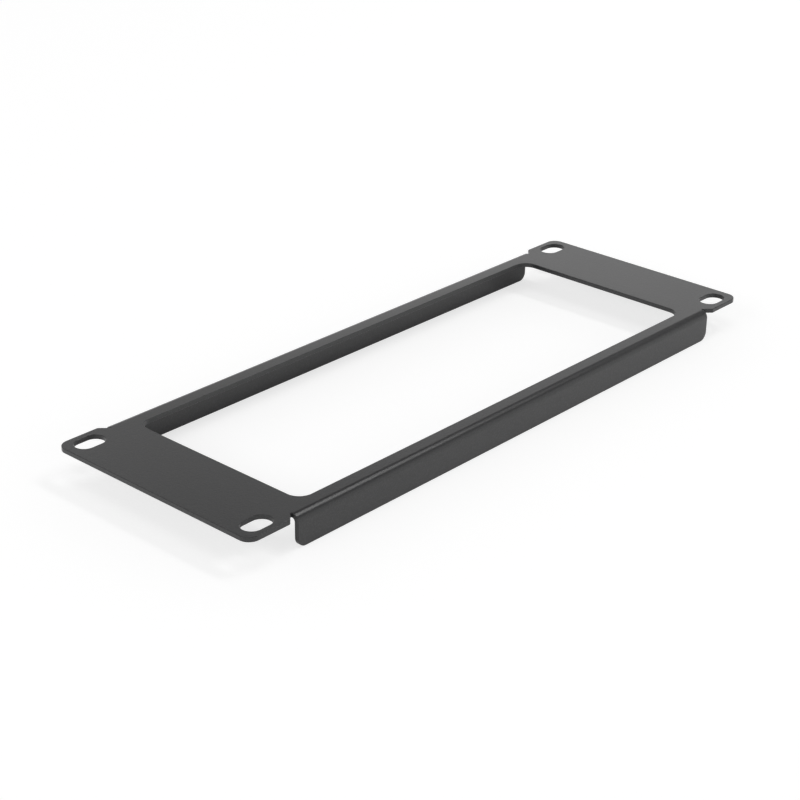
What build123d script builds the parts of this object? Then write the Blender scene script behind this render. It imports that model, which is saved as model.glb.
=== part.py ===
from build123d import *
import math
import os

# Open rack panel, folded from one sheet of steel.
# All sizes are in millimetres.
# X runs along the long side, Y along the short side, Z out of the front face.
# The origin is the middle of the slot pattern, on the rear face that seats on the rack rails.

# Outline
panel_width = 254.0
rack_unit = 44.45
units_high = 2
height_allowance = 0.8
sheet_thickness = 1.6
ear_corner_radius = 4.0

# Flanges, folded back along both long sides
flange_depth = 11.2
inside_bend_radius = 1.1
flange_end_margin = 20.0
flange_corner_radius = 3.2

# Relief notches, between each flange end and its ear, opening out to the edge of the sheet
relief_width = 0.4
relief_overrun = 0.2
relief_angle = 45.0
relief_mouth_radius = 1.0

# Cut-out, by the strips of sheet left around it
cutout_end_margin = 27.5
cutout_edge_margin = 7.0
cutout_corner_radius = 5.0

# Mounting slots, long side along X
slot_length = 11.0
slot_width = 7.2
slot_end_distance = 8.7375
slot_unit_distance = 6.35

# Heights, from the rear face
front_z = sheet_thickness
flange_edge_z = front_z - flange_depth

# Places along Y
panel_height = units_high * rack_unit - height_allowance
edge_y = panel_height / 2
outside_bend_radius = inside_bend_radius + sheet_thickness
fold_line_y = edge_y - outside_bend_radius
relief_end_y = fold_line_y - relief_overrun
slot_pitch_y = units_high * rack_unit - 2 * slot_unit_distance

# Places along X
flange_end_x = panel_width / 2 - flange_end_margin
relief_side_x = flange_end_x + relief_width
ear_side_x = relief_side_x + (edge_y - relief_end_y) * math.tan(math.radians(relief_angle))
slot_pitch_x = panel_width - 2 * slot_end_distance

# Cut-out size
cutout_width = panel_width - 2 * cutout_end_margin
cutout_height = panel_height - 2 * cutout_edge_margin


def relief_outline(i, j):
    """The sloping notch in one corner, whose signs along X and Y are i and j."""
    Polygon((i * flange_end_x, j * relief_end_y), (i * relief_side_x, j * relief_end_y),
            (i * ear_side_x, j * edge_y), (i * ear_side_x, j * (edge_y + sheet_thickness)),
            (i * flange_end_x, j * (edge_y + sheet_thickness)), align=None, mode=Mode.SUBTRACT)


def face_sheet():
    """The flat face with its ears, stopping at the fold lines between the relief notches."""
    with BuildPart() as sheet:
        with BuildSketch():
            RectangleRounded(panel_width, panel_height, ear_corner_radius)
            with Locations((0, fold_line_y), (0, -fold_line_y - outside_bend_radius)):
                Rectangle(2 * flange_end_x, outside_bend_radius, align=(Align.CENTER, Align.MIN),
                          mode=Mode.SUBTRACT)
            for i in (-1, 1):
                for j in (-1, 1):
                    relief_outline(i, j)
            RectangleRounded(cutout_width, cutout_height, cutout_corner_radius, mode=Mode.SUBTRACT)
            with GridLocations(slot_pitch_x, slot_pitch_y, 2, 2):
                SlotOverall(slot_length, slot_width, mode=Mode.SUBTRACT)
        extrude(amount=sheet_thickness)
    return sheet.part


def folded_flange():
    """The bend and the straight leg along the +Y side, as long as the notches are apart."""
    bend_middle = (fold_line_y, front_z - outside_bend_radius)
    inner_y = edge_y - sheet_thickness
    outer_corner = (bend_middle[0] + outside_bend_radius * math.sin(math.pi / 4),
                    bend_middle[1] + outside_bend_radius * math.cos(math.pi / 4))
    inner_corner = (bend_middle[0] + inside_bend_radius * math.sin(math.pi / 4),
                    bend_middle[1] + inside_bend_radius * math.cos(math.pi / 4))
    with BuildPart() as flange:
        with BuildSketch(Plane.YZ):
            with BuildLine():
                ThreePointArc((fold_line_y, front_z), outer_corner, (edge_y, bend_middle[1]))
                Line((edge_y, bend_middle[1]), (edge_y, flange_edge_z))
                Line((edge_y, flange_edge_z), (inner_y, flange_edge_z))
                Line((inner_y, flange_edge_z), (inner_y, bend_middle[1]))
                ThreePointArc((inner_y, bend_middle[1]), inner_corner, (fold_line_y, 0))
                Line((fold_line_y, 0), (fold_line_y, front_z))
            make_face()
        extrude(amount=flange_end_x, both=True)
    return flange.part


def is_at(edge, x, y):
    """True where an edge's middle is at this distance from the middle of the panel."""
    middle = edge.center()
    return math.isclose(abs(middle.X), x, abs_tol=0.01) and math.isclose(abs(middle.Y), y, abs_tol=0.01)


def panel_frame():
    """The whole folded sheet."""
    flange = folded_flange()
    sheet = face_sheet() + flange + mirror(flange, about=Plane.XZ)

    mouth_radius = min(relief_mouth_radius, 0.9 * outside_bend_radius)
    ear_corners = [e for e in sheet.edges().filter_by(Axis.Z) if is_at(e, ear_side_x, edge_y)]
    sheet = fillet(ear_corners, mouth_radius)

    straight_leg = flange_depth - outside_bend_radius
    leg_radius = min(flange_corner_radius, 0.9 * straight_leg)
    flange_corners = [e for e in sheet.edges().filter_by(Axis.Y)
                      if is_at(e, flange_end_x, edge_y - sheet_thickness / 2)
                      and e.center().Z < flange_edge_z + 0.01]
    return fillet(flange_corners, leg_radius)


os.makedirs("parts", exist_ok=True)
export_step(panel_frame(), "parts/panel_frame.step")
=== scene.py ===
import math

import bmesh
import bpy
from mathutils import Euler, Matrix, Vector


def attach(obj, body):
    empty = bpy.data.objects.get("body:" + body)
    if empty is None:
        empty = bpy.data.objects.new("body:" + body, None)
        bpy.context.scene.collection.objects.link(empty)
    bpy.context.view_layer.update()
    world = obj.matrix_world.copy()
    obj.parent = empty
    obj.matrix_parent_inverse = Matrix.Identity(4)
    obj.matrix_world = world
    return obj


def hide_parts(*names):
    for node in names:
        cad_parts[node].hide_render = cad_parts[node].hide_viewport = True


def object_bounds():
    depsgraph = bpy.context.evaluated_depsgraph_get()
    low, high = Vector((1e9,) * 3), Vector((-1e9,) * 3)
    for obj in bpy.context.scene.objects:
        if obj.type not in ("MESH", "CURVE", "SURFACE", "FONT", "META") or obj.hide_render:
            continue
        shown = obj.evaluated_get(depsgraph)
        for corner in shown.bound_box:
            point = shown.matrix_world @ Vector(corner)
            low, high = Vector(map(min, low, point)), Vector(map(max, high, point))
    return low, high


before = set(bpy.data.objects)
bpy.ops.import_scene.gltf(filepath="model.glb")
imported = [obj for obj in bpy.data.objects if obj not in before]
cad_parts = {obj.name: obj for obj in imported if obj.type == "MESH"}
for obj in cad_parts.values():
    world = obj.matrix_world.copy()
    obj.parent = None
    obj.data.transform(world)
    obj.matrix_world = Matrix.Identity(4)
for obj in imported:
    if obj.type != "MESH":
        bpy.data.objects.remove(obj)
cadLow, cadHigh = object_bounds()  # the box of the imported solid
mm = 0.001
print("frame loaded")


# Folded sheet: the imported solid's own shape, with its cut rims rounded as the coat rounds them

panel = {
    "node": "panel_frame",
    "slot": "powder_coat",
    "mergeGap": 0.002 * mm,
    "flatAngle": math.radians(0.5),  # faces closer than this are one flat face
    "bendAngle": math.radians(25),  # a skin runs on over edges flatter than this
    "smoothAngle": math.radians(38),  # edges flatter than this are shaded smooth
    "frontRound": 0.2 * mm,
    "rearRound": 0.1 * mm,
    "segments": 3,
}


def skinFaces(bm, side):  # the front or rear skin, from its largest face on over the bends
    start = max(bm.faces, key=lambda face: side * face.normal.z * face.calc_area())
    found, waiting = {start}, [start]
    while waiting:
        face = waiting.pop()
        for edge in face.edges:
            if edge.is_manifold and edge.calc_face_angle() < panel["bendAngle"]:
                for other in edge.link_faces:
                    if other not in found:
                        found.add(other)
                        waiting.append(other)
    return found


def roundRims(bm, side, size):
    skin = skinFaces(bm, side)
    rims = [e for e in bm.edges if e.is_manifold and len(skin.intersection(e.link_faces)) == 1]
    made = bmesh.ops.bevel(bm, geom=rims, offset=size, offset_type="OFFSET", profile=0.5,
                           segments=panel["segments"], affect="EDGES", clamp_overlap=False,
                           material=-1)
    return len(rims), made["faces"]


def makePanel():
    bm = bmesh.new()
    bm.from_mesh(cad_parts[panel["node"]].data)
    bmesh.ops.remove_doubles(bm, verts=bm.verts, dist=panel["mergeGap"])
    bmesh.ops.dissolve_limit(bm, angle_limit=panel["flatAngle"], verts=bm.verts, edges=bm.edges)
    isRound = bm.faces.layers.int.new("isRound")
    for side, size in ((-1, panel["rearRound"]), (1, panel["frontRound"])):
        count, faces = roundRims(bm, side, size)
        for face in faces:
            face[isRound] = 1
        print("rounded", count, "rim edges")
    rim = bm.verts.layers.float.new("rim")  # 1 along the middle of each rounded rim
    for vert in bm.verts:
        vert[rim] = float(all(face[isRound] for face in vert.link_faces))
    for face in bm.faces:
        face.smooth = True
    for edge in bm.edges:
        edge.smooth = edge.calc_face_angle(0) < panel["smoothAngle"]
    mesh = bpy.data.meshes.new("panel")
    bm.to_mesh(mesh)
    bm.free()
    piece = bpy.data.objects.new("panel", mesh)
    bpy.context.scene.collection.objects.link(piece)
    normals = piece.modifiers.new("even normals", "WEIGHTED_NORMAL")
    normals.keep_sharp = True
    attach(piece, "root")
    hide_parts(panel["node"])
    print("panel made,", len(mesh.polygons), "faces")
    return piece


# Black powder coat. A noise is given by its cells per metre and its detail.

coat = {
    "colour": (0.023, 0.023, 0.024),
    "paleColour": (0.028, 0.028, 0.029),
    "speckColour": (0.044, 0.044, 0.045),
    "speckRange": (0.45, 0.8),  # where the powder noise turns from the coat's tone to the specks'
    "wornColour": (0.038, 0.038, 0.039),  # along the rims, where the coat is thin
    "roughness": (0.28, 0.34),
    "clouds": (22.0, 4),  # slow changes of tone and gloss
    "peel": (620.0, 2),
    "grain": (1500.0, 1),
    "powder": (2600.0, 1),
    "peelDepth": 0.014 * mm,
    "grainDepth": 0.022 * mm,
}


def link(tree, fromNode, fromSocket, toNode, toSocket):
    tree.links.new(fromNode.outputs[fromSocket], toNode.inputs[toSocket])


def mathNode(tree, operation):
    node = tree.nodes.new("ShaderNodeMath")
    node.operation = operation
    return node


def noiseNode(tree, place, scale, detail):
    noise = tree.nodes.new("ShaderNodeTexNoise")
    noise.inputs["Scale"].default_value = scale
    noise.inputs["Detail"].default_value = detail
    link(tree, place, "Object", noise, "Vector")
    return noise


def tintNode(tree, colour, amount, amountSocket):  # mixes this colour in by the amount
    tint = tree.nodes.new("ShaderNodeMix")
    tint.data_type = "RGBA"
    tint.inputs["B"].default_value = (*colour, 1)
    link(tree, amount, amountSocket, tint, "Factor")
    return tint


def bumpNode(tree, height, depth):
    bump = tree.nodes.new("ShaderNodeBump")
    bump.inputs["Distance"].default_value = depth
    link(tree, height, "Fac", bump, "Height")
    return bump


def coatMaterial():
    material = bpy.data.materials.new("blackPowderCoat")
    material.use_nodes = True
    tree = material.node_tree
    shader = tree.nodes["Principled BSDF"]
    place = tree.nodes.new("ShaderNodeTexCoord")
    clouds = noiseNode(tree, place, *coat["clouds"])
    peel = noiseNode(tree, place, *coat["peel"])
    grain = noiseNode(tree, place, *coat["grain"])
    powder = noiseNode(tree, place, *coat["powder"])

    cloudTint = tintNode(tree, coat["paleColour"], clouds, "Fac")
    cloudTint.inputs["A"].default_value = (*coat["colour"], 1)

    specks = tree.nodes.new("ShaderNodeMapRange")
    specks.inputs["From Min"].default_value = coat["speckRange"][0]
    specks.inputs["From Max"].default_value = coat["speckRange"][1]
    link(tree, powder, "Fac", specks, "Value")
    speckTint = tintNode(tree, coat["speckColour"], specks, "Result")
    link(tree, cloudTint, "Result", speckTint, "A")

    rim = tree.nodes.new("ShaderNodeAttribute")
    rim.attribute_name = "rim"
    worn = mathNode(tree, "MULTIPLY")
    link(tree, rim, "Fac", worn, 0)
    link(tree, peel, "Fac", worn, 1)
    rimTint = tintNode(tree, coat["wornColour"], worn, "Value")
    link(tree, speckTint, "Result", rimTint, "A")
    link(tree, rimTint, "Result", shader, "Base Color")

    gloss = tree.nodes.new("ShaderNodeMapRange")
    gloss.inputs["To Min"].default_value = coat["roughness"][0]
    gloss.inputs["To Max"].default_value = coat["roughness"][1]
    link(tree, clouds, "Fac", gloss, "Value")
    link(tree, gloss, "Result", shader, "Roughness")

    peelBump = bumpNode(tree, peel, coat["peelDepth"])
    grainBump = bumpNode(tree, grain, coat["grainDepth"])
    link(tree, peelBump, "Normal", grainBump, "Normal")
    link(tree, grainBump, "Normal", shader, "Normal")
    return material


# Floor: white to the camera and in the coat's gloss, plain pale to everything else

floor = {
    "size": 16.0,
    "colour": (0.8, 0.8, 0.8),
    "roughness": 1.0,
    "shine": 0.0,
    "seenColour": (1.15, 1.15, 1.15),
    "lift": 0.24,  # glow added to the seen colour, so that the open floor is white
    "fade": 0.6,  # how much of the shadow the camera loses, as in the photo
}


def floorMaterial():
    material = bpy.data.materials.new("paleFloor")
    material.use_nodes = True
    tree = material.node_tree
    shader = tree.nodes["Principled BSDF"]
    shader.inputs["Base Color"].default_value = (*floor["colour"], 1)
    shader.inputs["Roughness"].default_value = floor["roughness"]
    shader.inputs["Specular IOR Level"].default_value = floor["shine"]
    bright = tree.nodes.new("ShaderNodeBsdfDiffuse")
    bright.inputs["Color"].default_value = (*floor["seenColour"], 1)
    glow = tree.nodes.new("ShaderNodeEmission")
    glow.inputs["Strength"].default_value = floor["lift"]
    lifted = tree.nodes.new("ShaderNodeAddShader")
    link(tree, bright, "BSDF", lifted, 0)
    link(tree, glow, "Emission", lifted, 1)

    path = tree.nodes.new("ShaderNodeLightPath")
    seen = mathNode(tree, "MAXIMUM")
    link(tree, path, "Is Camera Ray", seen, 0)
    link(tree, path, "Is Glossy Ray", seen, 1)
    seenThrough = mathNode(tree, "MAXIMUM")
    link(tree, seen, "Value", seenThrough, 0)
    link(tree, path, "Is Transmission Ray", seenThrough, 1)
    mix = tree.nodes.new("ShaderNodeMixShader")
    link(tree, seenThrough, "Value", mix, "Fac")
    link(tree, shader, "BSDF", mix, 1)
    link(tree, lifted, "Shader", mix, 2)

    plain = tree.nodes.new("ShaderNodeEmission")
    paler = mathNode(tree, "MULTIPLY")
    link(tree, path, "Is Camera Ray", paler, 0)
    paler.inputs[1].default_value = floor["fade"]
    faded = tree.nodes.new("ShaderNodeMixShader")
    link(tree, paler, "Value", faded, "Fac")
    link(tree, mix, "Shader", faded, 1)
    link(tree, plain, "Emission", faded, 2)
    link(tree, faded, "Shader", tree.nodes["Material Output"], "Surface")
    return material


def makeFloor(height):
    bm = bmesh.new()
    bmesh.ops.create_grid(bm, x_segments=1, y_segments=1, size=floor["size"] / 2)
    bmesh.ops.translate(bm, vec=(0, 0, height), verts=bm.verts)
    mesh = bpy.data.meshes.new("floor")
    bm.to_mesh(mesh)
    bm.free()
    mesh.materials.append(floorMaterial())
    piece = bpy.data.objects.new("floor", mesh)
    bpy.context.scene.collection.objects.link(piece)
    print("floor made")


# Lamps: each stands on a dome round the panel and faces its middle.
# Angles are in degrees, lengths in metres and powers in watts.

lamps = {
    "bendRight": {"around": -32, "up": 50, "away": 1.8, "size": (0.62, 0.19), "power": 2.7},
    "bendMiddle": {"around": -10, "up": 56, "away": 1.8, "size": (0.62, 0.19), "power": 3.4},
    "lowRight": {"around": 28, "up": 16, "away": 2.2, "size": (1.6, 0.7), "power": 1.3},
    "back": {"around": 75, "up": 25, "away": 2.0, "size": (1.2, 0.7), "power": 0.8},
    "farSide": {"around": 140, "up": 35, "away": 2.0, "size": (1.0, 0.8), "power": 1.4},
    "left": {"around": 180, "up": 30, "away": 2.0, "size": (1.0, 0.8), "power": 6.6},
}


def makeLamps():
    for name, lamp in lamps.items():
        around, up = math.radians(lamp["around"]), math.radians(lamp["up"])
        place = lamp["away"] * Vector((math.cos(up) * math.cos(around),
                                       math.cos(up) * math.sin(around), math.sin(up)))
        data = bpy.data.lights.new(name, "AREA")
        data.shape = "RECTANGLE"
        data.size, data.size_y = lamp["size"]
        data.energy = lamp["power"]
        piece = bpy.data.objects.new(name, data)
        piece.location = place
        piece.rotation_euler = (-place).to_track_quat("-Z", "Y").to_euler()
        bpy.context.scene.collection.objects.link(piece)
    print("lamps made")


# Studio round the panel, by rows of a height angle in degrees and the brightness there

studio = {
    "rows": ((0, 1.0), (21.5, 1.0), (27, 0.46), (34, 0.12), (66, 0.12), (90, 1.5)),
}


def makeWorld():
    world = bpy.data.worlds.new("studio")
    world.use_nodes = True
    tree = world.node_tree
    place = tree.nodes.new("ShaderNodeTexCoord")
    parts = tree.nodes.new("ShaderNodeSeparateXYZ")
    link(tree, place, "Generated", parts, "Vector")
    ramp = tree.nodes.new("ShaderNodeValToRGB")
    ramp.name = "heights"
    link(tree, parts, "Z", ramp, "Fac")
    rows = ramp.color_ramp.elements
    while len(rows) < len(studio["rows"]):
        rows.new(0.5)  # each row gets its own place below
    for row, (up, bright) in zip(rows, studio["rows"]):
        row.position = math.sin(math.radians(up))
        row.color = (bright, bright, bright, 1)
    link(tree, ramp, "Color", tree.nodes["Background"], "Color")
    bpy.context.scene.world = world
    print("studio made")


# Camera, fitted to the photo

camera = {
    "place": (-445.953 * mm, -389.441 * mm, 270.949 * mm),
    "turn": (64.4242, -0.5939, -47.6764),  # degrees
    "lens": 84.417,
    "sensor": 36,
    "clipStart": 10 * mm,
}


def makeCamera():
    data = bpy.data.cameras.new("camera")
    data.sensor_width = camera["sensor"]
    data.lens = camera["lens"]
    data.clip_start = camera["clipStart"]
    piece = bpy.data.objects.new("camera", data)
    piece.location = camera["place"]
    piece.rotation_euler = Euler([math.radians(a) for a in camera["turn"]], "XYZ")
    bpy.context.scene.collection.objects.link(piece)
    bpy.context.scene.camera = piece
    print("camera placed")


panelPiece = makePanel()
panelPiece.data.materials.clear()
panelPiece.data.materials.append(coatMaterial())
makeFloor(cadLow.z)
makeLamps()
makeWorld()
makeCamera()
bpy.context.scene.view_settings.view_transform = "Standard"

print("scene made")
